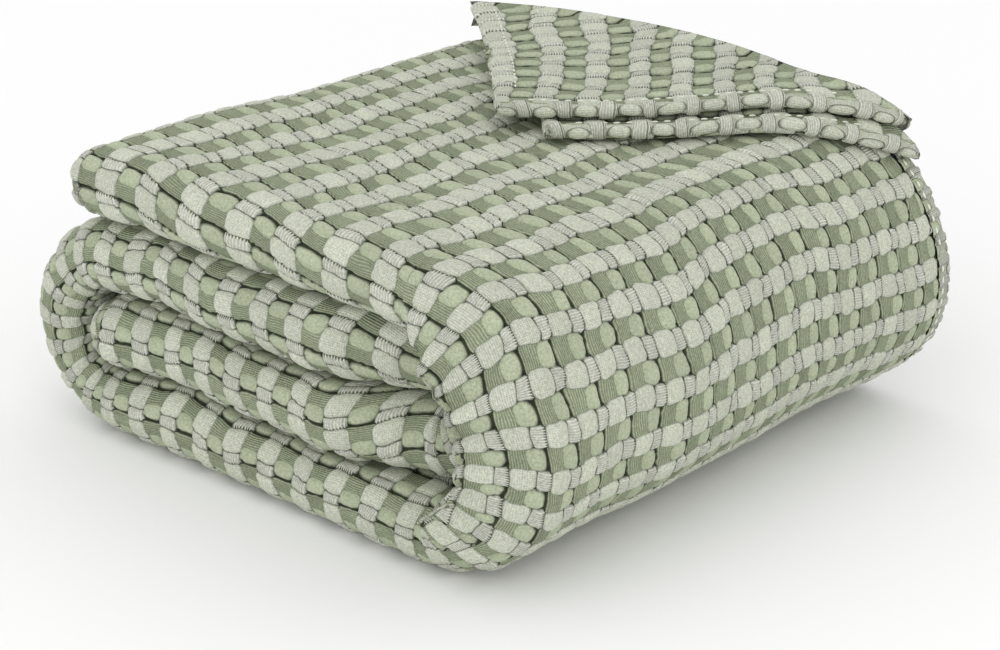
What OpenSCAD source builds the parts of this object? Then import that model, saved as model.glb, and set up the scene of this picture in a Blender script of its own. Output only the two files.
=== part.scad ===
// Folded throw blanket: one woven waffle cloth, quartered lengthwise into a long
// four-ply strip, then rolled crosswise into a packet with one corner turned back.
// Millimetres. X runs across the packet, from the back fold to the big front fold.
// Y runs from the smooth cloth folds (-Y) to the open hem side (+Y). Z is up, and
// the packet rests on z = 0 with its middle over the origin.

/* [Packet] */
// Width of the packet, back fold to front fold
packet_w = 340; // [300:1:400]
// Depth of the packet, cloth folds to hems
packet_d = 312; // [280:1:360]
// Thickness of one folded layer, four plies of waffle cloth
layer_t = 37; // [30:0.5:44]
// Air left between the two innermost layers
inner_gap = 1; // [0.5:0.5:3]

/* [Top layer] */
// How far the top layer stops short of the back fold
top_setback = 30; // [10:1:60]
// Skew of the top layer's end hem, degrees
top_skew = 3; // [0:0.5:8]
// How far down the front fold the top layer bends when it is lifted, degrees
shoulder_turn = 40; // [30:5:60]

/* [Hems] */
// Width of a turned hem
hem_w = 14; // [10:1:20]
// How far the long hems lie below the cloth's face
hem_inset = 0.6; // [0.2:0.1:1.5]
// Width of a line of stitching
stitch_w = 1.6; // [1:0.2:3]
// Depth of a stitch in its hem
stitch_t = 0.8; // [0.5:0.1:1.2]
// Spacing of the stitches on the turned-back corner
stitch_pitch = 6; // [4:0.5:10]

/* [Turned-back corner] */
// Thickness of one ply of the corner
ply_t = 7; // [5:0.5:9]
// Length of the fold line of the corner
flap_fold_len = 250; // [180:5:255]
// How far the corner's tip lies from its fold line
flap_reach = 152; // [90:1:160]
// Place of the tip along the fold line, from its back end
flap_tip_at = 128.5; // [90:0.5:150]
// How far the second ply shows past the first ply's long hem
second_ply_show = 18; // [12:1:35]
// How far the second ply's tip lies back along the long hem
second_ply_back = 24; // [10:1:40]
// Clearance under the corner
flap_lift = 0.4; // [0.3:0.1:1]

/* [Hidden] */
$fn = 72;

pale = [0.78, 0.80, 0.72];
sage = [0.66, 0.71, 0.58];
deep = [0.52, 0.58, 0.44];
thread = [0.85, 0.86, 0.80];

cloth_t = layer_t / 4;
y_fold = -packet_d / 2;
y_open = packet_d / 2;

// Heights of the faces between layers, from the ground up
z1 = layer_t;
z2 = 2 * layer_t;
z3 = z2 + inner_gap;
z4 = z3 + layer_t;
z5 = z4 + layer_t;

// The folds: centre and inner radius of each
front_r = (z4 - z1) / 2;
front_z = (z4 + z1) / 2;
front_x = packet_w / 2 - front_r - layer_t;
back_r = (z3 - z1) / 2;
back_z = (z3 + z1) / 2;
back_x = -packet_w / 2 + back_r + layer_t;
nose_r = inner_gap / 2;
nose_z = front_z;
nose_slack = 6;
nose_x = front_x - nose_slack;

top_end_x = -packet_w / 2 + top_setback + layer_t / 2;
end_ball = layer_t / 2;
seam_in = 2;

// Gap between the straight and turned lengths of one hem
length_gap = 0.2;

// The top layer's plies run closer to the open side, where the corner turns back
top_open_end = 8;
end_hem_short = 10;
end_overlap = 5;
inner_end_slack = 1;

// Half size of the block that trims the top layer's end, well past its sides
trim = 200;

// The turned-back corner, drawn flat with its fold line along X
hinge_in = 8;
hinge_y = y_open - hinge_in;
hinge_z = z5 + flap_lift + ply_t;
flap_x = top_end_x;
tip = [flap_tip_at, -flap_reach];
far = [flap_fold_len, 0];
seam_from_fold = 4;
seam_from_edge = hem_w - seam_from_fold;
stitch_share = 0.6;
row_start = 14;
row_end = 34;
short_row_start = 20;
short_row_end = 22;
second_row_end = 30;
fold_margin = 1;

// ---- building blocks -------------------------------------------------------

// A flat stretch of the strip from xa to xb: the profile's first axis rises from z
module rise(xa, xb, z)
    translate([xa, 0, z]) mirror([0, 0, 1]) rotate([0, 90, 0])
        linear_extrude(height = xb - xa) children();

// The same, with the profile's first axis going down from z
module drop(xa, xb, z)
    translate([xa, 0, z]) rotate([0, 90, 0])
        linear_extrude(height = xb - xa) children();

// The strip turned about an axis along Y, from angle a to b, clockwise seen from -Y.
// Side 1 starts at the top and bulges to +X, side -1 starts below and bulges to -X.
module turn(x, z, r, side, a = 0, b = 180)
    translate([x, 0, z]) rotate([-90, 0, 0]) rotate([0, 0, -90 * side + a])
        rotate_extrude(angle = b - a) translate([r, 0]) children();

// Four plies in section: round over the cloth folds, open with two hems on the other side
module layer_profile(open_end = hem_w) {
    translate([layer_t / 2, y_fold + layer_t / 2]) circle(d = layer_t);
    translate([0, y_fold + layer_t / 2])
        square([layer_t, packet_d - layer_t / 2 - open_end]);
    square([layer_t / 2, y_open - cloth_t]);
    translate([cloth_t, y_open - cloth_t]) circle(r = cloth_t);
}

// One hem in section, on the ply whose inner face is at height n
module hem_profile(n, t) {
    translate([n, y_open - hem_w]) square([t, hem_w - t / 2]);
    translate([n + t / 2, y_open - t / 2]) circle(d = t);
}

// The line of stitching sunk in the outer hem, in section
module seam_profile()
    translate([layer_t - hem_inset - stitch_t, y_open - hem_w + seam_in])
        square([stitch_t, stitch_w]);

module outer_hem_profile() difference() {
    hem_profile(layer_t - cloth_t, cloth_t - hem_inset);
    seam_profile();
}

module second_hem_profile() hem_profile(layer_t - 2 * cloth_t, cloth_t);

// The whole rolled strip below the top layer, with any profile, as one length for
// each fold and flat run, a hair apart where they meet
module spiral() {
    g = length_gap;
    turn(front_x, front_z, front_r, 1, shoulder_turn, 180 - g) children();
    drop(back_x + g, front_x - g, z1) children();
    turn(back_x, back_z, back_r, -1, g, 180 - g) children();
    rise(back_x + g, nose_x - g, z3) children();
    turn(nose_x, nose_z, nose_r, 1, g, 180 - g) children();
    drop(back_x + g, nose_x - g, z2) children();
}

// ---- the rolled packet -----------------------------------------------------

module bottom_panel() color(sage) drop(back_x, front_x, z1) layer_profile();
module front_fold() color(pale)
    turn(front_x, front_z, front_r, 1, shoulder_turn) layer_profile();
module back_fold() color(pale) turn(back_x, back_z, back_r, -1) layer_profile();
module upper_inner_panel() color(pale) rise(back_x, nose_x, z3) layer_profile();
module inner_fold() color(deep) turn(nose_x, nose_z, nose_r, 1) layer_profile();
module lower_inner_panel() color(sage) drop(back_x, nose_x, z2) layer_profile();

// The hemmed end of the strip, tucked into the back fold
module inner_end_hem() color(deep) {
    r = layer_t / 2 - inner_end_slack;
    translate([back_x, y_fold + layer_t / 2, z1 + layer_t / 2]) rotate([-90, 0, 0])
        rotate([0, 0, 90]) rotate_extrude(angle = 180)
            square([r, packet_d - layer_t / 2 - hem_w]);
}

module outer_long_hem() color(pale) spiral() outer_hem_profile();
module second_long_hem() color(sage) spiral() second_hem_profile();
module long_hem_stitching() color(thread) spiral() seam_profile();

// ---- the top layer ---------------------------------------------------------

// Everything on the far side of the top layer's skewed end
module beyond_end()
    translate([top_end_x, y_fold, z4]) rotate([0, 0, -top_skew])
        translate([-trim, -trim, -trim]) cube([trim, packet_d + 2 * trim, 2 * trim]);

module top_panel() color(pale) difference() {
    rise(top_end_x - end_overlap, front_x, z4) layer_profile(top_open_end);
    beyond_end();
}

// The top of the front fold, which lifts with the top layer
module on_shoulder() turn(front_x, front_z, front_r, 1, 0, shoulder_turn) children();
module shoulder() color(pale) on_shoulder() layer_profile();
module shoulder_outer_hem() color(pale) on_shoulder() outer_hem_profile();
module shoulder_second_hem() color(sage) on_shoulder() second_hem_profile();
module shoulder_stitching() color(thread) on_shoulder() seam_profile();

// The rolled hems at the end of the top layer
module top_end_hem() color(sage) intersection() {
    translate([top_end_x, y_fold, z4 + end_ball]) rotate([0, 0, -top_skew]) {
        translate([0, end_ball, 0]) sphere(r = end_ball);
        translate([0, end_ball, 0]) rotate([-90, 0, 0])
            cylinder(r = end_ball, h = packet_d - end_ball - end_hem_short);
    }
    beyond_end();
}

// ---- the turned-back corner --------------------------------------------------

// Places drawings made flat, in the corner's own axes, at height z
module on_corner(z) translate([flap_x, hinge_y, z]) children();

// Unit direction, and the point a fraction of the way from p to q
function unit(v) = v / norm(v);

// A band of width w lying inside the triangle along its side from p to q
module side_band(p, q, w, start = 0) {
    u = unit(q - p);
    inward = [-u[1], u[0]];
    polygon([p + u * start, q, q + inward * w, p + inward * w + u * start]);
}

// The triangle of a ply whose tip is at p, back end at a, far end at b
module ply_shape(a, p, b) polygon([a, p, b]);

module band_of(a, p, b, w, long_side) intersection() {
    ply_shape(a, p, b);
    if (long_side) side_band(p, b, w);
    else difference() {
        side_band(a, p, w);
        side_band(p, b, w);
    }
}

// Stitches in a row along p to q, in from the edge by d
module stitch_row(p, q, d, first, last) {
    u = unit(q - p);
    inward = [-u[1], u[0]];
    for (s = [first : stitch_pitch : norm(q - p) - last])
        translate(concat(p + u * s + inward * d, [0]))
            rotate([0, 0, atan2(u[1], u[0])])
                cube([stitch_pitch * stitch_share, stitch_w, stitch_t]);
}

lower_shift = unit(far - tip);
lower_tip = tip + [lower_shift[1], -lower_shift[0]] * second_ply_show
    + lower_shift * second_ply_back;
lower_back = [flap_fold_len / 4, 0];
lower_far_share = 0.7;
lower_far = [flap_fold_len, -second_ply_show * lower_far_share];
upper_z = hinge_z;
lower_z = hinge_z - ply_t;

module lower_shape() polygon([lower_back, lower_tip, lower_far, [flap_fold_len, 0]]);

module flap_fold() color(pale) on_corner(hinge_z) difference() {
    rotate([0, 90, 0]) cylinder(r = ply_t, h = flap_fold_len);
    translate([-fold_margin, -2 * ply_t, -2 * ply_t])
        cube([flap_fold_len + 2 * fold_margin, 2 * ply_t, 4 * ply_t]);
}

module flap_upper_ply() color(pale) on_corner(upper_z) linear_extrude(height = ply_t)
    difference() {
        ply_shape([0, 0], tip, far);
        side_band([0, 0], tip, hem_w);
        side_band(tip, far, hem_w);
    }

module flap_upper_long_hem() color(pale) difference() {
    on_corner(upper_z) linear_extrude(height = ply_t)
        band_of([0, 0], tip, far, hem_w, true);
    flap_upper_stitches();
}

module flap_upper_short_hem() color(pale) difference() {
    on_corner(upper_z) linear_extrude(height = ply_t)
        band_of([0, 0], tip, far, hem_w, false);
    flap_upper_stitches();
}

module flap_upper_stitches() on_corner(upper_z + ply_t - stitch_t) {
    stitch_row(tip, far, seam_from_edge, row_start, row_end);
    stitch_row([0, 0], tip, seam_from_edge, short_row_start, short_row_end);
}

module flap_upper_stitching() color(thread) flap_upper_stitches();

module flap_lower_ply() color(sage) on_corner(lower_z) linear_extrude(height = ply_t)
    difference() {
        lower_shape();
        side_band(lower_back, lower_tip, hem_w);
        side_band(lower_tip, lower_far, hem_w);
    }

module flap_lower_long_hem() color(sage) difference() {
    on_corner(lower_z) linear_extrude(height = ply_t) intersection() {
        lower_shape();
        side_band(lower_tip, lower_far, hem_w);
    }
    flap_lower_stitching();
}

module flap_lower_short_hem() color(sage) on_corner(lower_z)
    linear_extrude(height = ply_t) intersection() {
        lower_shape();
        difference() {
            side_band(lower_back, lower_tip, hem_w);
            side_band(lower_tip, lower_far, hem_w);
        }
    }

module flap_lower_stitching() color(thread) on_corner(lower_z + ply_t - stitch_t)
    stitch_row(lower_tip, lower_far, seam_from_edge, row_start, second_row_end);

bottom_panel();
front_fold();
back_fold();
upper_inner_panel();
inner_fold();
lower_inner_panel();
inner_end_hem();
outer_long_hem();
second_long_hem();
long_hem_stitching();
top_panel();
top_end_hem();
shoulder();
shoulder_outer_hem();
shoulder_second_hem();
shoulder_stitching();
flap_fold();
flap_upper_ply();
flap_upper_long_hem();
flap_upper_short_hem();
flap_upper_stitching();
flap_lower_ply();
flap_lower_long_hem();
flap_lower_short_hem();
flap_lower_stitching();
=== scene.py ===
# %% [markdown]
# # A folded throw blanket, in woven waffle cotton
# The real thing is one large cloth. It is quartered lengthwise into a strip of four plies,
# rolled crosswise into a packet, and one corner of its two outer plies is turned back over
# the top. This lesson dresses the solid model of that packet: smooth sheets are swept along
# the roll first, the weave is raised on them by a rule, and the hems and the turned-back
# corner come last.

# %% Load the solid model
import math

import bmesh
import bpy
import numpy as np
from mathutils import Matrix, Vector


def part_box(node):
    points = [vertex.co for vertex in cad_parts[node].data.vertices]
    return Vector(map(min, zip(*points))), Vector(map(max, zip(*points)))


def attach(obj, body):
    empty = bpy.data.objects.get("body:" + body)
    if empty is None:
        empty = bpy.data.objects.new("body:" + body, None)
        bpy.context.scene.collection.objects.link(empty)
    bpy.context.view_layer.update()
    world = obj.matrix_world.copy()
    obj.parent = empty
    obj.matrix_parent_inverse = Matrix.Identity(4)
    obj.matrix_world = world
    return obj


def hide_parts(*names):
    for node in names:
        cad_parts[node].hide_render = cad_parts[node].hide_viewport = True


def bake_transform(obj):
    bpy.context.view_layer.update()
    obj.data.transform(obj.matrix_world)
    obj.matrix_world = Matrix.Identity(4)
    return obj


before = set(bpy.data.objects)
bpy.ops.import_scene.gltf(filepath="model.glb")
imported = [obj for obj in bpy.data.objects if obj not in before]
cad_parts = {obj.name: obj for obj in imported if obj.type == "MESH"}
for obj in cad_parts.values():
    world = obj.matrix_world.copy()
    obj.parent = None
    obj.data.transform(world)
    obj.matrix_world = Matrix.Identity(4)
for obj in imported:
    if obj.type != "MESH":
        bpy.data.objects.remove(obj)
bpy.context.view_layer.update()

# %% [markdown]
# ## The sizes of the roll
# Every size is read from the solid model's own pieces, so that the cloth follows the
# packet when its sizes change. A layer is four plies. The front fold wraps two inner
# layers, so it is wide and round, and the back fold wraps one, so it is smaller.

# %% Read the roll's sizes
bottom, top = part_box("bottom_panel"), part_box("top_panel")
upper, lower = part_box("upper_inner_panel"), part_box("lower_inner_panel")
LAYER = bottom[1].z
Y_FOLD, Y_OPEN = bottom[0].y, bottom[1].y
FRONT_X, FRONT_Z = top[1].x, top[1].z / 2
FRONT_R = FRONT_Z - LAYER
BACK_X, BACK_Z = upper[0].x, upper[1].z / 2
BACK_R = BACK_Z - LAYER
NOSE_X, NOSE_Z = upper[1].x, FRONT_Z
NOSE_R = upper[0].z - NOSE_Z
END_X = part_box("top_end_hem")[0].x + LAYER / 2
SKEW = math.tan(math.radians(3))
ROLL = LAYER / 2
PLY = LAYER / 4
print(f"layer {LAYER:.4f}, front fold {FRONT_R + LAYER:.4f}, back fold {BACK_R + LAYER:.4f}")

# %% [markdown]
# ## Paths and sections
# A rolled strip is one section pushed along one path. A path is a list of points on the
# layer's inner face, each with the direction that points out of the roll. Flat runs and
# half-turns are enough. A section is drawn in the plane across the strip, from the inner
# face round the smooth cloth fold and over the outer face to the hems.

# %% Paths along the roll
STEP = 0.0014


def run(x0, x1, z, up, step=STEP):
    """A flat stretch of the layer from x0 to x1, with its inner face at z."""
    n = max(2, round(abs(x1 - x0) / step))
    x = np.linspace(x0, x1, n + 1)
    return np.c_[x, np.full(n + 1, z)], np.tile((0.0, float(up)), (n + 1, 1))


def turn(x, z, r, side, a, b, step=STEP):
    """The layer turned round an axis, from angle a to b in degrees, bulging to side."""
    n = max(2, round((r + LAYER) * math.radians(b - a) / step))
    t = np.radians(np.linspace(a, b, n + 1))
    out = side * np.c_[np.sin(t), np.cos(t)]
    return np.array((x, z)) + r * out, out


# %% Sections across the roll
def section(*parts, step=STEP):
    """Points (y, n) along lines and arcs. A line is (y0, n0, y1, n1), and an arc is
    (centre y, centre n, radius, first angle, last angle)."""
    out = []
    for part in parts:
        if len(part) == 4:
            y0, n0, y1, n1 = part
            k = max(1, round(math.hypot(y1 - y0, n1 - n0) / step))
            pts = np.c_[np.linspace(y0, y1, k + 1), np.linspace(n0, n1, k + 1)]
        else:
            y, n, r, a, b = part
            k = max(4, round(r * math.radians(abs(b - a)) / step))
            t = np.radians(np.linspace(a, b, k + 1))
            pts = np.c_[y + r * np.cos(t), n + r * np.sin(t)]
        out.append(pts if not out else pts[1:])
    return np.concatenate(out)


def length(points):
    """The distance run along a row of points, starting at nought."""
    return np.r_[0, np.cumsum(np.linalg.norm(np.diff(points, axis=0), axis=1))]


# %% [markdown]
# ## The weave's own coordinates
# Waffle cloth repeats in both directions, so each point of a sheet carries its place in
# the weave: how many repeats along a ridge, and how many ridges along the strip. The
# relief and the colour both read that one attribute, so they can't slide apart. A third
# number says how much of the relief a place takes, because cloth is flatter at a hem.
# Real rows are never ruled lines, so the place numbers wander a little, and the whole
# packet gives a little too, by one slow wave that every piece shares.

# %% The repeat, and the sheet maker
ALONG, WIDE, ACROSS, LOOSE = 0.0165, 0.0190, 0.0225, 0.0306
WIDE_TO, TIGHT_FROM, TIGHT_ROW = -0.050, 0.1125, 11.23


def place(s):
    """The weave's place along the strip, s along its outer face. The rows lie farther
    apart on the top, where the cloth is loose, than round the front fold."""
    return TIGHT_ROW + (s - TIGHT_FROM) / np.where(s < TIGHT_FROM, LOOSE, ACROSS)


def wander(u, v):
    """The places in the weave with the slow drift of real rows."""
    du = 0.08 * np.sin(v * 0.9 + 0.6) + 0.06 * np.sin(v * 2.3 + u * 0.31)
    dv = 0.07 * np.sin(u * 0.62 + 1.3) + 0.04 * np.sin(u * 1.71 + v * 0.43 + 0.5)
    return u + du, v + dv


FREE_FROM, DROOP = 0.03, 0.0012


def settle(co):
    """The soft give of a real packet, faded out at the floor."""
    x, y, z = np.moveaxis(co, -1, 0)
    free = np.clip(z / FREE_FROM, 0, 1)
    dx = 0.0012 * np.sin(38 * y + 31 * z + 0.4) + 0.0006 * np.sin(71 * y - 25 * z)
    dy = 0.0016 * np.sin(33 * x + 47 * z + 1.1) + 0.0008 * np.sin(83 * x + 20 * z)
    dz = 0.0011 * np.sin(29 * x + 35 * y + 2.0) + 0.0006 * np.sin(63 * x - 41 * y)
    return co + np.stack((dx, dy * free, (dz - DROOP) * free), -1)


def along(sect):
    """The weave's place at each point of a section, counted from the fold side."""
    pitch = np.where(sect[:, 0] < WIDE_TO, WIDE, ALONG)
    count = np.r_[0, np.cumsum(np.diff(length(sect)) / (pitch[1:] + pitch[:-1]) * 2)]
    return count - count[np.argmin(sect[:, 0]) if sect[0, 0] < 0 else 0]


def sweep(path, sect, s0=0.0, lift=1.0, tuck=None):
    """One grid: the section pushed along the path, which starts s0 along the strip. tuck
    reshapes the section from place to place, given how far along the path it is, from
    0 to 1."""
    (p, out), (y, n) = path, sect.T
    u = along(sect) + np.zeros((len(p), 1))
    v = place(s0 + length(p + LAYER * out))
    y, n = (np.tile(k, (len(p), 1)) for k in (y, n))
    if tuck:
        longer = np.hypot(np.diff(y), np.diff(n))
        y, n = tuck(np.linspace(0, 1, len(p))[:, None], y, n)
        longer = (np.hypot(np.diff(y), np.diff(n)) - longer) / WIDE
        more = np.cumsum(np.c_[np.zeros(len(p)), longer], axis=1)
        u = u + more - more[:, -1:]
    co = np.stack((p[:, :1] + n * out[:, :1], y, p[:, 1:] + n * out[:, 1:]), -1)
    weave = np.stack((u, v[:, None] + 0 * y, np.full_like(y, lift)), -1)
    return co, weave


def cap(x, z, sect, s0, onward, r=1.0):
    """The rounded end of a layer: the section's outer half turned over its middle."""
    k = max(6, round(math.pi * ROLL / STEP))
    t = np.linspace(0, math.pi, k + 1)[:, None]
    y, m = sect[:, 0], r * (sect[:, 1] - ROLL)
    co = np.stack((x - m * np.sin(t), y + 0 * t, z + m * np.cos(t)), -1)
    u = along(sect)
    v = place(s0 + onward * t * ROLL)
    weave = np.stack((u + 0 * t, v + 0 * u, np.ones_like(t) + 0 * u), -1)
    return co[::-1], weave[::-1]


FLAT = {}


def unrolled(grids):
    """The size of the grids' cloth laid out flat, side by side."""
    span = lambda c, axis: float(np.linalg.norm(np.diff(c, axis=axis), axis=-1).sum(axis).mean())
    sizes = [(span(c, 1), span(c, 0)) for c, w in grids]
    width = sum(w for w, l in sizes)
    return width, sum(w * l for w, l in sizes) / width


def cloth(name, grids):
    """One mesh from several grids, each with its faces outwards, and their edges sewn."""
    FLAT[name] = unrolled(grids)
    co, weave, quads, base = [], [], [], 0
    for c, w in grids:
        rows, cols = c.shape[:2]
        i = base + np.arange(rows * cols).reshape(rows, cols)
        q = np.stack((i[:-1, :-1], i[1:, :-1], i[1:, 1:], i[:-1, 1:]), -1).reshape(-1, 4)
        quads.append(q)
        co.append(c.reshape(-1, 3))
        weave.append(w.reshape(-1, 3))
        base += rows * cols
    co, weave, quads = map(np.concatenate, (co, weave, quads))
    co = settle(co)
    weave[:, 0], weave[:, 1] = wander(weave[:, 0], weave[:, 1])
    mesh = bpy.data.meshes.new(name)
    mesh.vertices.add(len(co))
    mesh.vertices.foreach_set("co", co.astype(np.float32).ravel())
    mesh.loops.add(quads.size)
    mesh.loops.foreach_set("vertex_index", quads.astype(np.int32).ravel())
    mesh.polygons.add(len(quads))
    mesh.polygons.foreach_set("loop_start", np.arange(0, quads.size, 4, dtype=np.int32))
    mesh.attributes.new("weave", "FLOAT_VECTOR", "POINT").data.foreach_set(
        "vector", weave.astype(np.float32).ravel()
    )
    mesh.update(calc_edges=True)
    sewn = bmesh.new()
    sewn.from_mesh(mesh)
    bmesh.ops.remove_doubles(sewn, verts=sewn.verts, dist=1e-5)
    sewn.to_mesh(mesh)
    sewn.free()
    mesh.shade_smooth()
    obj = bpy.data.objects.new(name, mesh)
    bpy.context.scene.collection.objects.link(obj)
    print(f"{name}: {len(quads)} faces")
    return obj


# %% [markdown]
# ## Sums on sockets
# The weave is a rule, and a rule is easiest to read as sums. This small class lets a
# node's output take part in Python sums, in a shader and in a geometry tree alike, and
# a bench makes any other node from its type, its settings and its inputs.

# %% Sockets that add up
class Val:
    """A number from a node, which takes part in Python sums."""

    def __init__(self, bench, socket):
        self.bench, self.socket = bench, socket

    def do(self, op, *more):
        return self.bench.node("ShaderNodeMath", {"operation": op}, dict(enumerate((self, *more))))

    def __add__(self, x):
        return self.do("ADD", x)

    def __sub__(self, x):
        return self.do("SUBTRACT", x)

    def __rsub__(self, x):
        return self.bench.node("ShaderNodeMath", {"operation": "SUBTRACT"}, {0: x, 1: self})

    def __mul__(self, x):
        return self.do("MULTIPLY", x)

    def __truediv__(self, x):
        return self.do("DIVIDE", x)

    def __pow__(self, x):
        return self.do("POWER", x)

    __radd__, __rmul__ = __add__, __mul__

    def top(self, x):
        return self.do("MAXIMUM", x)

    def abs(self):
        return self.do("ABSOLUTE")

    def wave(self):
        """A wave from 0 to 1 that repeats with every whole number."""
        return (self * (2 * math.pi)).do("COSINE") * -0.5 + 0.5

    def ramp(self, a, b):
        """Smoothly from 0 at a to 1 at b."""
        return self.bench.node(
            "ShaderNodeMapRange",
            {"interpolation_type": "SMOOTHSTEP"},
            {"Value": self, "From Min": a, "From Max": b},
        )


class Bench:
    """Makes the nodes of one tree."""

    def __init__(self, tree):
        self.tree = tree

    def node(self, kind, settings=None, inputs=None, out=0):
        n = self.tree.nodes.new(kind)
        for key, value in (settings or {}).items():
            setattr(n, key, value)
        for key, value in (inputs or {}).items():
            if isinstance(value, Val):
                self.tree.links.new(value.socket, n.inputs[key])
            else:
                n.inputs[key].default_value = value
        return Val(self, n.outputs[out])


# %% [markdown]
# ## One repeat of the waffle
# Each repeat has four things in it. In the ridge there is a puffed block of plain weave,
# and beside it a comb of loose threads that run along the ridge. In the valley there is
# a bed of threads that run across, and a smooth pad, with a deep pit beside it. Each is
# a rounded box round its own centre, and the highest one at a place wins.

# %% The four things in a repeat
# name: centre along, centre across, half size along, half size across, squareness
REPEAT = {
    "block": (0.335, 0.23, 0.345, 0.290, 5.0),
    "comb": (0.838, 0.23, 0.172, 0.255, 7.0),
    "bed": (0.235, 0.735, 0.262, 0.300, 8.0),
    "pad": (0.660, 0.735, 0.272, 0.285, 3.2),
}
# along a rolled hem: an oval pad, a comb wrapped right round, and the cloth behind them
HEM_REPEAT = {
    "block": (0.335, 0.23, 0.320, 0.190, 2.3),
    "comb": (0.835, 0.23, 0.185, 0.520, 9.0),
    "bed": (0.335, 0.23, 0.400, 0.520, 9.0),
    "pad": (0.335, 0.73, 0.300, 0.200, 2.6),
}
HEIGHT = {"block": 3.8, "comb": 3.5, "bed": 1.9, "pad": 2.9}
HEM_HEIGHT = {"block": 2.8, "comb": 2.6, "bed": 0.9, "pad": 1.8}


def repeat(bench, u, v, things=REPEAT):
    """For each thing in the repeat: its dome, 0 at its edge and 1 at its middle, and the
    place from its centre along and across. A little noise keeps the edges from being
    ruled lines."""
    at = bench.node("ShaderNodeCombineXYZ", {}, {0: u, 1: v, 2: 0.5})
    fine = {"Vector": at, "Scale": 1.3, "Detail": 1.0}
    noise = bench.node("ShaderNodeTexNoise", {"noise_dimensions": "2D"}, fine)
    u = u + (noise - 0.5) * 0.22
    v = v + (noise - 0.5) * 0.16
    found = {}
    for name, (uc, vc, a, b, p) in things.items():
        from_u, from_v = u - (uc - 0.5), v - (vc - 0.5)
        du, dv = from_u.do("FRACT") - 0.5, from_v.do("FRACT") - 0.5
        q = (du.abs() / a) ** p + (dv.abs() / b) ** p
        which = {0: from_u.do("FLOOR"), 1: from_v.do("FLOOR"), 2: uc}
        cell = bench.node("ShaderNodeCombineXYZ", {}, which)
        luck = bench.node("ShaderNodeTexWhiteNoise", {"noise_dimensions": "3D"}, {"Vector": cell})
        found[name] = ((1 - q).top(0.0) ** 0.5, du, dv, luck)
    return found


# %% [markdown]
# ## Raising the weave
# Displacing a smooth sheet along its normals by the rule gives real pits and overlaps
# that cast their own shadows. A geometry tree does it, so the heights are named inputs
# and one tree serves every sheet. The highest block stays on the solid model's face, and
# everything else sinks below it, so the packet keeps its size.

# %% The relief tree
MM = 0.001


def relief_tree(title, things):
    """Sinks a sheet by the height of the highest thing at each place, in millimetres."""
    tree = bpy.data.node_groups.new(title, "GeometryNodeTree")
    face = tree.interface
    face.new_socket("Geometry", in_out="INPUT", socket_type="NodeSocketGeometry")
    for name, high in HEIGHT.items():
        face.new_socket(name, in_out="INPUT", socket_type="NodeSocketFloat").default_value = high
    face.new_socket("Finish", in_out="INPUT", socket_type="NodeSocketMaterial")
    face.new_socket("Geometry", in_out="OUTPUT", socket_type="NodeSocketGeometry")
    b = Bench(tree)
    group = tree.nodes.new("NodeGroupInput")
    given = {s.name: Val(b, s) for s in group.outputs}
    weave = b.node(
        "GeometryNodeInputNamedAttribute", {"data_type": "FLOAT_VECTOR"}, {"Name": "weave"}
    )
    parts = tree.nodes.new("ShaderNodeSeparateXYZ")
    tree.links.new(weave.socket, parts.inputs[0])
    u, v, lift = (Val(b, s) for s in parts.outputs)
    height = None
    for name, (dome, du, dv, luck) in repeat(b, u, v, things).items():
        h = dome * given[name] * (luck * 0.16 + 0.84)
        height = h if height is None else height.top(h)
    sink = (height - given["block"]) * lift * MM
    normal = b.node("GeometryNodeInputNormal")
    move = b.node("ShaderNodeVectorMath", {"operation": "SCALE"}, {0: normal, "Scale": sink})
    geo = b.node("GeometryNodeSetPosition", {}, {"Geometry": given["Geometry"], "Offset": move})
    geo = b.node("GeometryNodeRealizeInstances", {}, {"Geometry": geo})
    geo = b.node("GeometryNodeSetMaterial", {}, {"Geometry": geo, "Material": given["Finish"]})
    tree.links.new(geo.socket, tree.nodes.new("NodeGroupOutput").inputs[0])
    return tree


RELIEF = relief_tree("Waffle relief", REPEAT)
HEM_RELIEF = relief_tree("Hem relief", HEM_REPEAT)


def set_inputs(mod, **values):
    """Sets a modifier's inputs by the sockets' identifiers."""
    for item in mod.node_group.interface.items_tree:
        if item.in_out == "INPUT" and item.name in values:
            mod[item.identifier] = values[item.name]


def bake(obj):
    """The evaluated mesh in place of the live modifier."""
    dg = bpy.context.evaluated_depsgraph_get()
    mesh = bpy.data.meshes.new_from_object(obj.evaluated_get(dg))
    obj.modifiers.clear()
    obj.data = mesh
    return obj


def raise_weave(obj, finish, tree=RELIEF, **heights):
    mod = obj.modifiers.new("Waffle relief", "NODES")
    mod.node_group = tree
    set_inputs(mod, Finish=finish, **heights)
    return bake(obj)


# %% [markdown]
# ## The finish
# The cotton is one soft sage green all through. Light and shade are painted into its colour:
# the raised blocks and combs are painted paler, a painted highlight where light catches the
# loose fibres, and the gaps between threads, one side of each pad and the pits are painted
# darker, as painted shade. The threads are too fine to model, so a bump carries them: along
# the comb, across the bed, and a plain weave on the block.

# %% Colours
def srgb(r, g, b):
    """A colour as a designer picks it, 0 to 255, turned into light."""
    f = lambda c: c / 12.92 if c <= 0.04045 else ((c + 0.055) / 1.055) ** 2.4
    return (f(r / 255), f(g / 255), f(b / 255), 1.0)


# painted light and shade: the two palest colours give the blocks and combs a painted highlight
# where light catches the loose fibres, and the palest is also the sewing thread's own colour; the
# sage and the slightly darker bed colour are the cotton's own green; the two darkest are painted
# shade, between threads and in the pits
PALE, THREAD, SAGE = srgb(212, 215, 198), srgb(226, 228, 214), srgb(184, 192, 165)
BED, GAP_SHADE, PIT_SHADE = srgb(178, 187, 158), srgb(66, 77, 46), srgb(30, 38, 16)


# %% The woven cotton
COMB_THREAD, BED_THREAD, FINE_THREAD = 0.00130, 0.00105, 0.00095
WRAPPED_THREADS = 16


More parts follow.
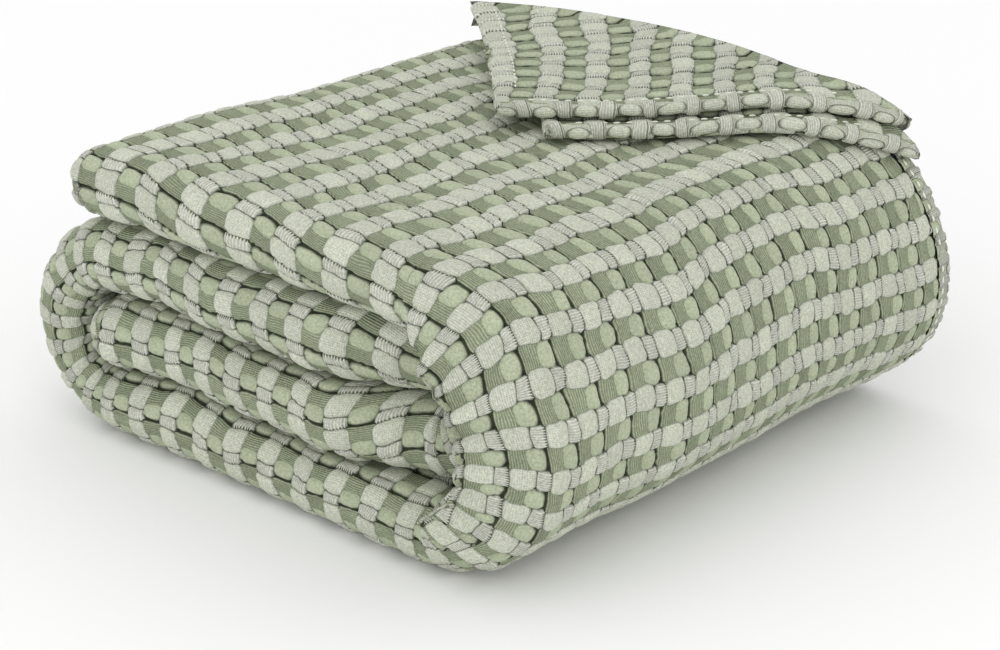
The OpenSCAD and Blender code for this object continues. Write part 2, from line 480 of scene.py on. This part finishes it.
def woven(name, wrapped=False):
    """The cotton, flat in the cloth or wrapped crosswise round a rolled hem."""
    things, heights = (HEM_REPEAT, HEM_HEIGHT) if wrapped else (REPEAT, HEIGHT)
    mat = bpy.data.materials.new(name)
    mat.use_nodes = True
    tree = mat.node_tree
    tree.nodes.clear()
    b = Bench(tree)
    weave = b.node("ShaderNodeAttribute", {"attribute_name": "weave"}, {}, "Vector")
    parts = tree.nodes.new("ShaderNodeSeparateXYZ")
    tree.links.new(weave.socket, parts.inputs[0])
    u, v = (Val(b, s) for s in parts.outputs[:2])
    part = repeat(b, u, v, things)
    mix = lambda f, x, y: b.node(
        "ShaderNodeMix", {"data_type": "RGBA"}, {"Factor": f, 6: x, 7: y}, 2
    )
    pick = lambda f, x, y: x + (y - x) * f
    high = {name: part[name][0] * heights[name] for name in part}
    is_comb = high["comb"].do("GREATER_THAN", high["block"])
    is_pad = high["pad"].do("GREATER_THAN", high["bed"])
    is_ridge = high["comb"].top(high["block"]).do("GREATER_THAN", high["pad"].top(high["bed"]))
    choose = lambda k: pick(
        is_ridge,
        pick(is_pad, part["bed"][k], part["pad"][k]),
        pick(is_comb, part["block"][k], part["comb"][k]),
    )
    if wrapped:
        comb_threads = (part["comb"][1] * WRAPPED_THREADS).wave()
    else:
        comb_threads = (part["comb"][2] * (ACROSS / COMB_THREAD)).wave()
    bed_threads = (part["bed"][1] * (ALONG / BED_THREAD)).wave()
    plain = (u * (ALONG / FINE_THREAD)).wave() * (v * (ACROSS / FINE_THREAD)).wave()
    # painted light and shade on the threads: their crowns are pale and the gaps between them are
    # painted dark; on the comb the gaps' painted shade deepens towards the comb's end, as painted
    # shadow in the hole beside it
    comb_end_shade = part["comb"][1].ramp(0.085, 0.15) * 0.75
    comb = mix((1 - comb_threads) * (comb_end_shade + 0.3), THREAD, GAP_SHADE)
    bed = mix((1 - bed_threads) * 0.5, BED, GAP_SHADE)
    block = mix(plain * 0.25, PALE, SAGE)
    if wrapped:
        bed = mix(plain * 0.6, PALE, BED)
    # painted shade: each pad is darker at one side, where it turns from the light, and paler at
    # the other
    pad = mix(part["pad"][1].ramp(-0.26, 0.1), BED, SAGE)
    colour = mix(is_ridge, mix(is_pad, bed, pad), mix(is_comb, block, comb))
    # painted shade: every thing darkens towards its edge, into the pits and creases between
    # things, which also gives the hem's pads their dark outline
    inside = choose(0)
    colour = mix((inside * inside).ramp(0.0, 0.66) * 0.92 + 0.08, PIT_SHADE, colour)
    at = b.node("ShaderNodeTexCoord", {}, {}, "Object")
    fluff = b.node("ShaderNodeTexNoise", {}, {"Vector": at, "Scale": 900.0, "Detail": 2.0})
    tone = (choose(3) * 0.14 + 0.93) * ((fluff - 0.5) * 0.8 + 0.885)
    grey = b.node("ShaderNodeCombineXYZ", {}, {0: tone, 1: tone, 2: tone})
    colour = b.node("ShaderNodeVectorMath", {"operation": "MULTIPLY"}, {0: colour, 1: grey})
    threads = pick(
        is_ridge, pick(is_pad, bed_threads, plain * 0.3), pick(is_comb, plain * 0.6, comb_threads)
    )
    normal = b.node("ShaderNodeBump", {}, {"Strength": 0.9, "Distance": 0.0006, "Height": threads})
    cotton = b.node(
        "ShaderNodeBsdfPrincipled", {}, {"Base Color": colour, "Roughness": 0.92, "Normal": normal}
    )
    node = cotton.socket.node
    node.inputs["Sheen Weight"].default_value = 0.04
    node.inputs["Sheen Roughness"].default_value = 0.6
    node.inputs["Specular IOR Level"].default_value = 0.1
    tree.links.new(cotton.socket, tree.nodes.new("ShaderNodeOutputMaterial").inputs[0])
    return mat


COTTON, HEM_COTTON = woven("waffle_cotton"), woven("hem_cotton", wrapped=True)

# %% [markdown]
# ## The layers' sections
# Across one layer there are four plies. On the fold side they turn as one smooth roll.
# On the other side the outer two end in rolled hems and the inner two are a fold of the
# cloth. The hems are pieces of their own, so that each can have its rounder relief.

# %% Sections of one layer
HEM = 0.014


def rim(n, t, depth):
    """A rounded edge t thick, with its lower face at n, reaching depth into the layer."""
    r = t / 2
    return (
        (Y_OPEN - depth, n + t, Y_OPEN - r, n + t),
        (Y_OPEN - r, n + r, r, 90, -90),
        (Y_OPEN - r, n, Y_OPEN - depth, n),
    )


WRAP = section(
    (Y_FOLD + 0.055, 0, Y_FOLD + ROLL, 0),
    (Y_FOLD + ROLL, ROLL, ROLL, -90, -270),
    (Y_FOLD + ROLL, LAYER, Y_OPEN - HEM, LAYER),
    (Y_OPEN - HEM, LAYER, Y_OPEN - HEM + 0.002, LAYER - 0.003),
)
EDGE = section(*rim(0, 2 * PLY, 0.05))
UNDER = section(*rim(0, 2 * PLY, Y_OPEN - Y_FOLD - 0.055)[1:], step=2 * STEP)
TURNED = section(*rim(2 * PLY, 2 * PLY, HEM))
OUTER_HEM = section(*rim(LAYER - PLY, PLY, HEM - 0.0005))
SECOND_HEM = section(*rim(LAYER - 2 * PLY, PLY, HEM + 0.006))
HALF = section(
    (Y_FOLD + ROLL, ROLL, ROLL, -180, -270),
    (Y_FOLD + ROLL, LAYER, Y_OPEN - PLY, LAYER),
    (Y_OPEN - PLY, LAYER - PLY, PLY, 90, 0),
    (Y_OPEN, LAYER - PLY, Y_OPEN, ROLL),
)


# %% [markdown]
# ## How the near corner gathers
# Where the layer goes round the front fold, the smooth roll is pulled tight over the
# inner layers. Its round end turns into a sharp lip at the inside of the fold, and the
# inner layers are drawn in behind it.

# %% Reshaping the section along the path
LIP = 0.0005


def bump(t, a, b, c, d):
    """0 before a, 1 from b to c, and 0 again after d."""
    step = lambda x: x * x * (3 - 2 * x)
    return step(np.clip((t - a) / (b - a), 0, 1)) * (1 - step(np.clip((t - c) / (d - c), 0, 1)))


def lip(first, last):
    """For the front fold, whose stretch runs from one angle to another."""

    def tuck(t, y, n):
        turned = first + t * (last - first)
        k = bump(turned, -10, 38, 150, 180)
        side = np.clip((Y_FOLD + 0.06 - y) / 0.03, 0, 1)
        share = np.clip((n - ROLL) / ROLL, 0, 1)
        outer_n = LIP + (LAYER - LIP) * share**1.1
        inner_n = LIP * np.clip(n / ROLL, 0, 1)
        new_n = np.where(n < ROLL, np.where(y > 0, n, inner_n), outer_n)
        low = np.clip((turned - 100) / 40, 0, 1)
        pleats = (0.0012 + 0.0022 * low) * k * side * np.sin(np.radians(turned) * 20) * (1 - share)
        out = 0.013 * k * side * (1 - share) * np.clip((Y_FOLD + 0.03 - y) / 0.03, 0, 1)
        return y - out + pleats, n + (new_n - n) * k

    return tuck


def drawn_in(start, end, by=0.016):
    """The inner layers' roll moves in by this much, from start to end of the stretch."""

    def tuck(t, y, n):
        k = bump(t, start, end, 2, 3)
        side = np.clip((Y_FOLD + 0.055 - y) / 0.03, 0, 1)
        return y + by * k * side, n

    return tuck


# %% The sheets of the packet
TOP = run(END_X, FRONT_X, LAYER * 3 + 0.001, 1)
LIFTED = 80
arc = lambda deg: math.radians(deg) * (FRONT_R + LAYER)
s_bottom = FRONT_X + arc(180)
s_back = s_bottom + FRONT_X - BACK_X
s_upper = s_back + math.pi * (BACK_R + LAYER)
s_nose = s_upper + NOSE_X - BACK_X
s_lower = s_nose + math.pi * (NOSE_R + LAYER)
s_end = s_lower + NOSE_X - BACK_X
print(f"the strip's outer face runs {s_end - END_X:.3f} m from end to end")

# stretch: path, distance along the strip, reshaping
top_run = [(TOP, END_X, None)]
shoulder_run = [(turn(FRONT_X, FRONT_Z, FRONT_R, 1, 0, LIFTED), FRONT_X, lip(0, LIFTED))]
front_run = [
    (turn(FRONT_X, FRONT_Z, FRONT_R, 1, LIFTED, 180), FRONT_X + arc(LIFTED), lip(LIFTED, 180))
]
bottom_run = [
    (run(FRONT_X, BACK_X, LAYER, -1), s_bottom, None),
    (turn(BACK_X, BACK_Z, BACK_R, -1, 0, 180), s_back, None),
]
inner_run = [
    (run(BACK_X, NOSE_X, upper[0].z, 1), s_upper, drawn_in(0.7, 1)),
    (turn(NOSE_X, NOSE_Z, NOSE_R, 1, 0, 180), s_nose, drawn_in(-2, -1)),
]
drawn_back = lambda t, y, n: drawn_in(0.7, 1)(1 - t, y, n)
inmost_run = [(run(NOSE_X, BACK_X, lower[1].z, -1), s_lower, drawn_back)]
packet_run = front_run + bottom_run + inner_run + inmost_run


def swept(stretches, *sections, **more):
    return [sweep(path, s, v, tuck=k, **more) for s in sections for path, v, k in stretches]


def leaning(grids, lean=0.17):
    """The top layer was pulled a little askew as it was folded, so its columns lean."""
    for co, weave in grids:
        weave[..., 0] += lean * np.minimum(co[..., 0] - FRONT_X, 0) / ALONG
    return grids


def skewed(grids):
    """The top layer's end is not quite square to its sides."""
    out = []
    for co, weave in grids:
        co = co.copy()
        share = np.clip((FRONT_X - co[..., 0]) / (FRONT_X - END_X), 0, 1)
        co[..., 0] += share * (co[..., 1] - Y_FOLD) * SKEW
        out.append((co, weave))
    return out


top_end = cap(END_X, TOP[0][0, 1] + ROLL, HALF, END_X, -1)
top_cloth = cloth("top_cloth", skewed(leaning(swept(top_run, WRAP, UNDER, TURNED) + [top_end])))
shoulder_cloth = cloth("shoulder_cloth", swept(shoulder_run, WRAP, EDGE))
front_cloth = cloth("front_cloth", swept(front_run, WRAP, EDGE))
bottom_cloth = cloth("bottom_cloth", swept(bottom_run, WRAP, EDGE))
inner_cloth = cloth("inner_cloth", swept(inner_run, WRAP, EDGE))
inmost_cloth = cloth(
    "inmost_cloth",
    swept(inmost_run, WRAP, EDGE) + [cap(BACK_X, lower[0].z + ROLL, HALF, s_end, 1, 0.95)],
)
for piece in (top_cloth, shoulder_cloth, front_cloth, bottom_cloth, inner_cloth, inmost_cloth):
    raise_weave(piece, COTTON)

# %% The rolled hems along the open side
ROPE, RIM_ROPE = 0.0205, 0.0115


def roped(grids, pitch):
    """Gives a hem's grid the places of a rope: one ridge along it, wrapped round its rim."""
    for co, weave in grids:
        girth = np.linspace(-0.5, 0.5, weave.shape[1])
        weave[..., 0] = (weave[..., 1] * ACROSS) / pitch
        weave[..., 1] = 0.23 + girth
    return grids


OPEN_SIDE = {"shoulder": shoulder_run, "packet": packet_run}
long_hems = {}
for name, stretches in OPEN_SIDE.items():
    grids = roped(swept(stretches, OUTER_HEM, SECOND_HEM, lift=0.7), RIM_ROPE)
    hems = cloth(f"{name}_long_hems", grids)
    long_hems[name] = raise_weave(hems, HEM_COTTON, HEM_RELIEF, **HEM_HEIGHT)

# %% [markdown]
# ## The turned-back corner
# The two outer plies of one corner lie folded back over the top and a little way down the
# front fold. Each ply is a three-cornered sheet, laid on the packet's own outer face: one
# place number runs along the strip, round the front fold too, and the other across it.
# The ridges run parallel to the short hem, as they do all over the cloth.

# %% Laying a ply on the packet
def lay(s, y, h):
    """The point at height h over the outer face, s along the strip and y across it."""
    over = np.maximum(s - FRONT_X, 0)
    a = over / (FRONT_R + LAYER)
    r = FRONT_R + LAYER + h
    x = np.where(over > 0, FRONT_X + r * np.sin(a), s)
    return np.stack((x, y, FRONT_Z + np.where(over > 0, r * np.cos(a), r)), -1)


def fold_line(far, near, k):
    """A point of the corner's fold line, k of the way from its back end to its front. The
    fold bows out behind, and cuts across at the back."""
    bow = 0.021 * np.sin(math.pi * np.clip(k / 0.85, 0, 1) ** 0.65)
    return far + k * (near - far) + bow * np.array((0, 1))


def corner_ply(far, tip, near, h, t):
    """The two faces of a ply from its fold line to its tip."""
    far, tip, near = map(np.array, (far, tip, near))
    long_hem, short_hem = np.linalg.norm(near - tip), np.linalg.norm(far - tip)
    nb, na = round(short_hem / STEP), round(long_hem / STEP)
    b = np.linspace(0, 1, nb + 1)[:, None] ** 1.15
    a = (np.linspace(0, 1, na + 1)[None] ** 1.15) * (1 - b)
    b = b + 0 * a
    k = (a / np.maximum(a + b, 1e-6))[..., None]
    p = tip + a[..., None] * (near - tip) + b[..., None] * (far - tip)
    p = p + (a + b)[..., None] ** 2 * (fold_line(far, near, k) - far - k * (near - far))
    p = p + hem_bow(a) * np.clip((1 - a - b) / np.maximum(1 - a, 1e-6), 0, 1)[..., None]
    da, db = a * long_hem, b * short_hem
    edge = lambda d, r: np.sqrt(np.clip(1 - (1 - np.clip(d / r, 0, 1)) ** 2, 0, 1))
    half = t / 2 * edge(da, 0.003) * edge(db, 0.004)
    grids = []
    for side in (1, -1):
        co = lay(p[..., 0], p[..., 1], h + t / 2 + side * half)
        lift = (0.6 + 0.4 * side) * np.clip((1 - a - b) / 0.02, 0, 1)
        weave = np.stack((0.95 - db / ALONG, 0.02 + da / ACROSS, lift), -1)
        grids.append((co, weave) if side < 0 else (co[::-1], weave[::-1]))
    (above, w), (below, _) = grids
    inner_edge = np.stack((below[:, -1], above[::-1][:, -1]), 1)
    return grids + [(inner_edge, np.repeat(w[::-1][:, -1:], 2, 1))]


def hem_bow(a):
    """The long hem is not straight: it bows out a little between its ends."""
    return 0.006 * np.sin(math.pi * np.asarray(a))[..., None] * np.array((0.7, -0.7))


HEM_R = 0.0048


def hem_rope(tip, near, h, r=HEM_R, start=0.0):
    """The rolled long hem of a ply, laid along its edge from the tip to the fold line."""
    tip, near = np.array(tip), np.array(near)
    reach = np.linalg.norm(near - tip)
    a = np.linspace(0, 1, round(reach / 0.0009) + 1)
    inward = np.array((-(near - tip)[1], (near - tip)[0])) / reach
    p = tip + a[:, None] * (near - tip) + hem_bow(a) + inward * 0.0035
    t = np.linspace(2 * math.pi, 0, 37)[None]
    a = a[:, None]
    ends = np.clip(np.minimum(a, 1 - a) * reach / 0.005, 0, 1)
    girth = r * np.sqrt(1 - (1 - ends) ** 2)
    s, y = (p[:, i : i + 1] + inward[i] * girth * np.cos(t) for i in (0, 1))
    co = lay(s, y, h + girth * np.sin(t))
    u, v = start + a * reach / ROPE, 0.23 + (math.pi - t) / 6.4
    return co, np.stack((u + 0 * t, v + 0 * a, 1 + 0 * a * t), -1)


def corner_fold(far, tip, near, h):
    """The half-round where the two plies turn over the packet's edge. Its rows and
    columns carry on from the upper ply's."""
    far, tip, near = map(np.array, (far, tip, near))
    n = round(np.linalg.norm(near - far) / STEP)
    k = np.linspace(0, 1, n + 1)[:, None]
    t = np.linspace(-math.pi / 2, math.pi / 2, 18)[None]
    line = fold_line(far, near, k)
    s, y = line[:, :1] + 0 * t, line[:, 1:]
    co = lay(s, y + h / 2 * np.cos(t), LIFT + h / 2 + h / 2 * np.sin(t))
    over = (math.pi / 2 - t) * h / 2
    per_a, per_b = np.linalg.solve(np.stack((near - tip, far - tip), -1), (0, 1))
    da = (k + per_a * over) * np.linalg.norm(near - tip)
    db = (1 - k + per_b * over) * np.linalg.norm(far - tip)
    lift = 0.9 * np.abs(np.cos(t)) ** 0.4 + 0 * k
    weave = np.stack((0.95 - db / ALONG, 0.02 + da / ACROSS, lift), -1)
    middles = co[[0, -1]].mean(1, keepdims=True) + np.zeros((2, co.shape[1], 3))
    plain = np.zeros((1, co.shape[1], 3)) + (0.335, 0.23, 0)
    co = np.concatenate((middles[:1], co, middles[1:]))
    weave = np.concatenate((plain, weave, plain))
    return co[::-1], weave[::-1]


LIFT = 0.0004
CORNER_T = (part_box("flap_upper_ply")[1].z - top[1].z - LIFT) / 2
FAR, TIP, NEAR = (-0.129, 0.130), (0.007, -0.004), (0.137, 0.150)
LOW_FAR, LOW_TIP, LOW_NEAR = (-0.095, 0.138), (0.034, 0.002), (0.152, 0.150)
upper_ply = cloth("corner_upper_cloth", corner_ply(FAR, TIP, NEAR, LIFT + CORNER_T, CORNER_T))
lower_ply = cloth("corner_lower_cloth", corner_ply(LOW_FAR, LOW_TIP, LOW_NEAR, LIFT, CORNER_T))
fold_roll = cloth("corner_fold_cloth", [corner_fold(FAR, TIP, NEAR, 2 * CORNER_T)])
for piece in (upper_ply, lower_ply, fold_roll):
    raise_weave(piece, COTTON)
corner_hems = cloth(
    "corner_long_hems",
    [
        hem_rope(TIP, NEAR, LIFT + 1.5 * CORNER_T),
        hem_rope(LOW_TIP, LOW_NEAR, LIFT + HEM_R, start=0.4),
    ],
)
raise_weave(corner_hems, HEM_COTTON, HEM_RELIEF, **HEM_HEIGHT)

# %% [markdown]
# ## The stitching
# Each hem is held by one row of stitches. A stitch repeats hundreds of times, so the row
# is only a set of points that know which way the thread runs and which way the cloth
# faces, and a geometry tree puts one small stitch on each.

# %% The stitch tree
def stitch_tree():
    tree = bpy.data.node_groups.new("Row of stitches", "GeometryNodeTree")
    face = tree.interface
    face.new_socket("Geometry", in_out="INPUT", socket_type="NodeSocketGeometry")
    for name, size in (("Stitch length", 0.0036), ("Stitch width", 0.0011)):
        face.new_socket(name, in_out="INPUT", socket_type="NodeSocketFloat").default_value = size
    face.new_socket("Thread", in_out="INPUT", socket_type="NodeSocketMaterial")
    face.new_socket("Geometry", in_out="OUTPUT", socket_type="NodeSocketGeometry")
    b = Bench(tree)
    group = tree.nodes.new("NodeGroupInput")
    given = {s.name: Val(b, s) for s in group.outputs}
    known = lambda name: b.node(
        "GeometryNodeInputNamedAttribute", {"data_type": "FLOAT_VECTOR"}, {"Name": name}
    )
    bead = b.node("GeometryNodeMeshUVSphere", {}, {"Segments": 6, "Rings": 4, "Radius": 0.5})
    aim = b.node("FunctionNodeAlignRotationToVector", {"axis": "X"}, {"Vector": known("toward")})
    aim = b.node(
        "FunctionNodeAlignRotationToVector",
        {"axis": "Z", "pivot_axis": "X"},
        {"Rotation": aim, "Vector": known("facing")},
    )
    width = given["Stitch width"]
    size = b.node("ShaderNodeCombineXYZ", {}, {0: given["Stitch length"], 1: width, 2: width})
    geo = b.node(
        "GeometryNodeInstanceOnPoints",
        {},
        {"Points": given["Geometry"], "Instance": bead, "Rotation": aim, "Scale": size},
    )
    geo = b.node("GeometryNodeRealizeInstances", {}, {"Geometry": geo})
    geo = b.node("GeometryNodeSetMaterial", {}, {"Geometry": geo, "Material": given["Thread"]})
    tree.links.new(geo.socket, tree.nodes.new("NodeGroupOutput").inputs[0])
    return tree


def sewing_thread():
    mat = bpy.data.materials.new("sewing_thread")
    mat.use_nodes = True
    shade = mat.node_tree.nodes["Principled BSDF"]
    shade.inputs["Base Color"].default_value = THREAD
    shade.inputs["Roughness"].default_value = 0.85
    return mat


STITCH_TREE, SEWING_THREAD = stitch_tree(), sewing_thread()
STITCH_PITCH = 0.006


def stitches(name, rows):
    """Rows of stitches. A row is the points along it, and the cloth's facing at each."""
    at, toward, facing = [], [], []
    for points, out in rows:
        d = length(points)
        where = np.arange(STITCH_PITCH, d[-1] - STITCH_PITCH / 2, STITCH_PITCH)
        pick = lambda a, x: np.stack([np.interp(x, d, a[:, i]) for i in range(3)], -1)
        at.append(pick(points, where))
        toward.append(pick(points, where + 0.001) - pick(points, where - 0.001))
        facing.append(pick(out, where))
    at, toward, facing = map(np.concatenate, (at, toward, facing))
    mesh = bpy.data.meshes.new(name)
    mesh.vertices.add(len(at))
    mesh.vertices.foreach_set("co", settle(at).astype(np.float32).ravel())
    for key, value in (("toward", toward), ("facing", facing)):
        value = value / np.linalg.norm(value, axis=1, keepdims=True)
        mesh.attributes.new(key, "FLOAT_VECTOR", "POINT").data.foreach_set(
            "vector", value.astype(np.float32).ravel()
        )
    obj = bpy.data.objects.new(name, mesh)
    bpy.context.scene.collection.objects.link(obj)
    mod = obj.modifiers.new("Row of stitches", "NODES")
    mod.node_group = STITCH_TREE
    set_inputs(mod, Thread=SEWING_THREAD)
    print(f"{name}: {len(at)} stitches")
    return bake(obj)


# %% The rows of stitches
def strip_row(stretches, y, n):
    """A row along the open side of the strip."""
    rows = []
    for (p, out), _, _ in stretches:
        co = p + n * out
        flat = lambda a, mid: np.stack((a[:, 0], np.full(len(a), mid), a[:, 1]), -1)
        rows.append((flat(co, y), flat(out, 0.0)))
    return rows


def corner_row(start, end, inset, h):
    """A row along a hem of the corner, from one end of its edge to the other."""
    start, end = np.array(start), np.array(end)
    d = end - start
    inward = np.array((-d[1], d[0])) / np.linalg.norm(d) * inset
    k = np.linspace(0.07, 0.86, 60)[:, None]
    p = start + k * d + inward + hem_bow(k[:, 0])
    up = lay(p[:, 0], p[:, 1], np.full(60, 1.0)) - lay(p[:, 0], p[:, 1], np.zeros(60))
    return lay(p[:, 0], p[:, 1], np.full(60, h)), up


# how deep a stitch lies in the cloth, and how far a row lies from a hem's edge
SUNK, FROM_LONG_HEM, FROM_SHORT_HEM, PAST_RIM = 0.0004, 0.0095, 0.0115, 0.003
hem_stitches = {}
for name, stretches in OPEN_SIDE.items():
    rows = strip_row(stretches, Y_OPEN - HEM + PAST_RIM, LAYER - SUNK)
    hem_stitches[name] = stitches(f"{name}_hem_stitching", rows)
UPPER_TOP, LOWER_TOP = LIFT + 2 * CORNER_T, LIFT + CORNER_T
corner_stitches = stitches(
    "corner_stitching",
    [
        corner_row(TIP, NEAR, FROM_LONG_HEM, UPPER_TOP - SUNK),
        corner_row(FAR, TIP, FROM_SHORT_HEM, UPPER_TOP - SUNK),
        corner_row(LOW_TIP, LOW_NEAR, FROM_LONG_HEM, LOWER_TOP - SUNK),
    ],
)

# %% [markdown]
# ## Floor, light and camera
# The packet lies on a plain pale floor, under a bright sky that lights it from all round.
# Two broad lamps in front of it are enough to shape the ridges. The camera looks from the
# near corner, a little above.

# %% Floor, light and camera
def studio():
    bpy.ops.mesh.primitive_plane_add(size=12, location=(0, 0, 0))
    floor = bpy.context.object
    floor.name = "floor"
    mat = bpy.data.materials.new("pale_floor")
    mat.use_nodes = True
    shade = mat.node_tree.nodes["Principled BSDF"]
    shade.inputs["Base Color"].default_value = (0.96, 0.96, 0.96, 1)
    shade.inputs["Roughness"].default_value = 0.9
    shade.inputs["Specular IOR Level"].default_value = 0.1
    floor.data.materials.append(mat)
    world = bpy.data.worlds.new("studio")
    bpy.context.scene.world = world
    world.use_nodes = True
    world.node_tree.nodes["Background"].inputs["Color"].default_value = (1, 1, 1, 1)
    world.node_tree.nodes["Background"].inputs["Strength"].default_value = 1.0


def lamp(name, at, size, power):
    light = bpy.data.lights.new(name, "AREA")
    light.size, light.energy = size, power
    obj = bpy.data.objects.new(name, light)
    obj.location = at
    obj.rotation_euler = (-obj.location).to_track_quat("-Z", "Y").to_euler()
    bpy.context.scene.collection.objects.link(obj)


studio()
lamp("key", (-0.3, -1.4, 1.5), 1.6, 1.5)
lamp("front", (1.0, -1.1, 0.6), 1.5, 4)

AZIMUTH, ELEVATION, DISTANCE = 42.4, 21.2, 1.27
AIM = Vector((0, 0, 0.075))
# the film's width and the lens in mm, and the shift as a share of the film's width
FILM, LENS, SHIFT = 36, 92.412, (0.0115, -0.0555)


def camera():
    data = bpy.data.cameras.new("camera")
    data.sensor_width, data.lens = FILM, LENS
    data.shift_x, data.shift_y = SHIFT
    cam = bpy.data.objects.new("camera", data)
    a, e = math.radians(AZIMUTH), math.radians(ELEVATION)
    away = (math.sin(a) * math.cos(e), -math.cos(a) * math.cos(e), math.sin(e))
    cam.location = AIM + Vector(away) * DISTANCE
    cam.rotation_euler = (-Vector(away)).to_track_quat("-Z", "Y").to_euler()
    bpy.context.scene.collection.objects.link(cam)
    bpy.context.scene.camera = cam


camera()
bpy.context.scene.view_settings.view_transform = "Standard"

# %% [markdown]
# ## What each piece rides on
# The packet stays still, the top layer lifts at the front fold, and the corner turns over
# its own fold line. Each piece is hung on the body it rides with. The pieces that cross a
# fold, the shoulder and the corner's fold, are hung on neither and stay where they are.
# Each sheet's size laid flat is printed, and the solids of the model that the cloth
# stands for are hidden.

# %% Bodies
for piece, body in (
    (top_cloth, "top_layer"),
    (front_cloth, "packet"),
    (bottom_cloth, "packet"),
    (inner_cloth, "packet"),
    (inmost_cloth, "packet"),
    (long_hems["packet"], "packet"),
    (hem_stitches["packet"], "packet"),
    (upper_ply, "corner_flap"),
    (lower_ply, "corner_flap"),
    (corner_hems, "corner_flap"),
    (corner_stitches, "corner_flap"),
):
    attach(piece, body)
for piece in (shoulder_cloth, long_hems["shoulder"], hem_stitches["shoulder"]):
    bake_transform(piece)
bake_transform(fold_roll)

# %% Finishes and flat sizes
made = {
    "waffle_cotton": (
        *(top_cloth, shoulder_cloth, front_cloth, bottom_cloth, inner_cloth, inmost_cloth),
        *(upper_ply, lower_ply, fold_roll),
    ),
    "hem_cotton": (*long_hems.values(), corner_hems),
    "sewing_thread": (*hem_stitches.values(), corner_stitches),
}
# how much of the rectangle on its two hems a ply is reckoned to cover
PLY_SHARE = 0.55
ply_corners = {upper_ply: (FAR, TIP, NEAR), lower_ply: (LOW_FAR, LOW_TIP, LOW_NEAR)}
for piece, held, lies_on, goes_with in (
    (bottom_cloth, "folded", (), ()),
    (inmost_cloth, "folded", (bottom_cloth,), ()),
    (inner_cloth, "folded", (inmost_cloth,), ()),
    (front_cloth, "folded", (bottom_cloth,), (long_hems["packet"], hem_stitches["packet"])),
    (shoulder_cloth, "folded", (front_cloth,), (long_hems["shoulder"], hem_stitches["shoulder"])),
    (top_cloth, "folded", (inner_cloth,), ()),
    (fold_roll, "folded", (top_cloth,), ()),
    (lower_ply, "laid", (top_cloth,), ()),
    (upper_ply, "laid", (lower_ply,), (corner_hems, corner_stitches)),
):
    (w, l), share = FLAT[piece.name], 1
    if piece in ply_corners:
        far, tip, near = ply_corners[piece]
        w, l, share = math.dist(far, tip), math.dist(near, tip), PLY_SHARE
    area = w * l * share
    print(f"{piece.name}: flat {w:.3f} x {l:.3f} m, {area:.4f} m2")
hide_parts("top_panel", "top_end_hem")
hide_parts("shoulder")
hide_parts("shoulder_outer_hem", "shoulder_second_hem")
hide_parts("shoulder_stitching")
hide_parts("front_fold")
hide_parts("bottom_panel", "back_fold")
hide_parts("outer_long_hem", "second_long_hem")
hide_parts("long_hem_stitching")
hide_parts("upper_inner_panel", "inner_fold")
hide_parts("lower_inner_panel", "inner_end_hem")
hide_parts("flap_upper_ply", "flap_upper_short_hem")
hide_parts("flap_lower_ply", "flap_lower_short_hem")
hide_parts("flap_upper_long_hem", "flap_lower_long_hem")
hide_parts("flap_upper_stitching", "flap_lower_stitching")
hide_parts("flap_fold")
for piece in sum(made.values(), ()):
    piece.data.calc_loop_triangles()
    print(f"{piece.name}: {len(piece.data.loop_triangles)} triangles")
